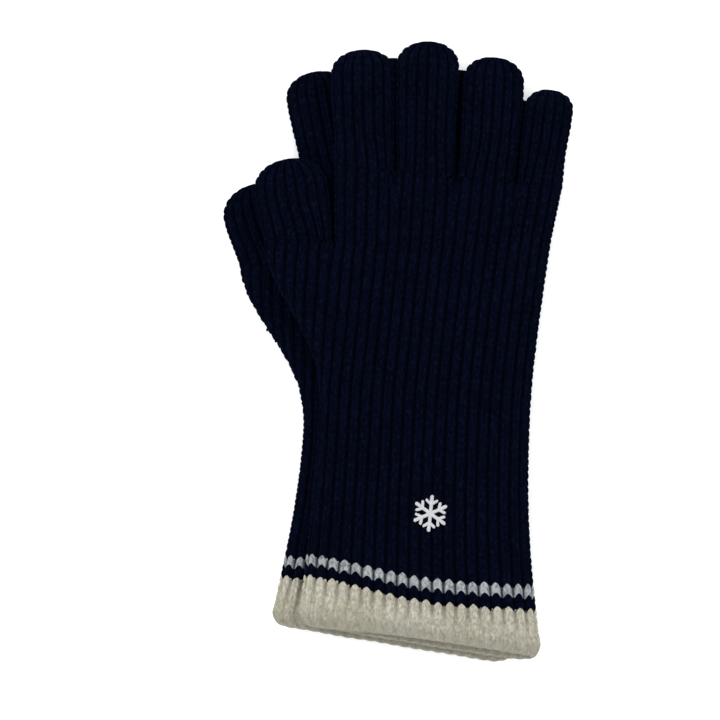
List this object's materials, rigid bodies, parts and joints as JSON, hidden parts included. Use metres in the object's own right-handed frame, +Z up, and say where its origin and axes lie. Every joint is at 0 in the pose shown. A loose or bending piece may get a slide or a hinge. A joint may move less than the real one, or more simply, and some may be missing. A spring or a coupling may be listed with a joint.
{
  "type": "knitted glove pair",
  "caption": "Pair of five-finger rib-knit gloves with long flared cuffs, two contrast stripes and a pale hem, lying palm to palm.",
  "frame": {"origin": "the rest point, on the flat underside of the left glove's heel, where the pair lies on its surface", "axes": "+Y runs along the gloves to the fingertips, the thumbs point to -X, and +Z is up, from the left glove to the right glove on top of it"},
  "size_m": [0.1398, 0.2472, 0.0213],
  "materials": {
    "navy_knit": "rib-knitted yarn, matt with a faint sheen",
    "grey_knit": "rib-knitted yarn, matt",
    "cream_knit": "rib-knitted yarn, matt",
    "white_thread": "satin-stitched embroidery thread"
  },
  "bodies": {
    "left_hand": {"left_heel": "navy_knit", "left_palm": "navy_knit", "left_gauntlet": "navy_knit", "left_light_stripe": "grey_knit", "left_navy_stripe": "navy_knit", "left_hem": "cream_knit", "left_emblem": "white_thread"},
    "right_hand": {"right_heel": "navy_knit", "right_palm": "navy_knit"},
    "right_cuff": {"right_gauntlet": "navy_knit", "right_light_stripe": "grey_knit", "right_navy_stripe": "navy_knit", "right_hem": "cream_knit", "right_emblem": "white_thread"},
    "right_thumb": {"right_thumb": "navy_knit"},
    "right_index": {"right_index": "navy_knit"},
    "right_middle": {"right_middle": "navy_knit"},
    "right_ring": {"right_ring": "navy_knit"},
    "right_little": {"right_little": "navy_knit"},
    "left_thumb": {"left_thumb": "navy_knit"},
    "left_index": {"left_index": "navy_knit"},
    "left_middle": {"left_middle": "navy_knit"},
    "left_ring": {"left_ring": "navy_knit"},
    "left_little": {"left_little": "navy_knit"}
  },
  "joints": [
    {"name": "pair_lift", "type": "slide", "parent": "left_hand", "child": "right_hand", "axis": [0, 0, 1], "range_m": [0, 0.06]},
    {"name": "right_thumb_fold", "type": "hinge", "parent": "right_hand", "child": "right_thumb", "pos_m": [-0.03932, 0.03864, 0.0213], "axis": [1, 0, 0], "range_deg": [0, 85]},
    {"name": "right_index_fold", "type": "hinge", "parent": "right_hand", "child": "right_index", "pos_m": [-0.01292, 0.06747, 0.0213], "axis": [0.9954, -0.0958, 0], "range_deg": [0, 85]},
    {"name": "right_middle_fold", "type": "hinge", "parent": "right_hand", "child": "right_middle", "pos_m": [0.01158, 0.06512, 0.0213], "axis": [0.9954, -0.0958, 0], "range_deg": [0, 85]},
    {"name": "right_ring_fold", "type": "hinge", "parent": "right_hand", "child": "right_ring", "pos_m": [0.03558, 0.0628, 0.0213], "axis": [0.9954, -0.0958, 0], "range_deg": [0, 85]},
    {"name": "right_little_fold", "type": "hinge", "parent": "right_hand", "child": "right_little", "pos_m": [0.05698, 0.06074, 0.0213], "axis": [0.9954, -0.0958, 0], "range_deg": [0, 85]},
    {"name": "right_cuff_fold", "type": "hinge", "parent": "right_hand", "child": "right_cuff", "pos_m": [0.01133, -0.02386, 0.0213], "axis": [-1, 0, 0], "range_deg": [0, 85]},
    {"name": "left_thumb_splay", "type": "hinge", "parent": "left_hand", "child": "left_thumb", "pos_m": [-0.06333, 0.02889, 0.00525], "axis": [0, 0, 1], "range_deg": [0, 12]},
    {"name": "left_index_splay", "type": "hinge", "parent": "left_hand", "child": "left_index", "pos_m": [-0.03712, 0.06055, 0.00525], "axis": [0, 0, 1], "range_deg": [0, 10]},
    {"name": "left_middle_splay", "type": "hinge", "parent": "left_hand", "child": "left_middle", "pos_m": [-0.01232, 0.05968, 0.00525], "axis": [0, 0, 1], "range_deg": [0, 4.5]},
    {"name": "left_ring_splay", "type": "hinge", "parent": "left_hand", "child": "left_ring", "pos_m": [0.03537, 0.05802, 0.00525], "axis": [0, 0, -1], "range_deg": [0, 4.5]},
    {"name": "left_little_splay", "type": "hinge", "parent": "left_hand", "child": "left_little", "pos_m": [0.05455, 0.05735, 0.00525], "axis": [0, 0, -1], "range_deg": [0, 10]}
  ],
  "couplings": [
    {"joint": "left_middle_splay", "follows": "left_index_splay", "ratio": 0.45},
    {"joint": "left_ring_splay", "follows": "left_little_splay", "ratio": 0.45}
  ]
}
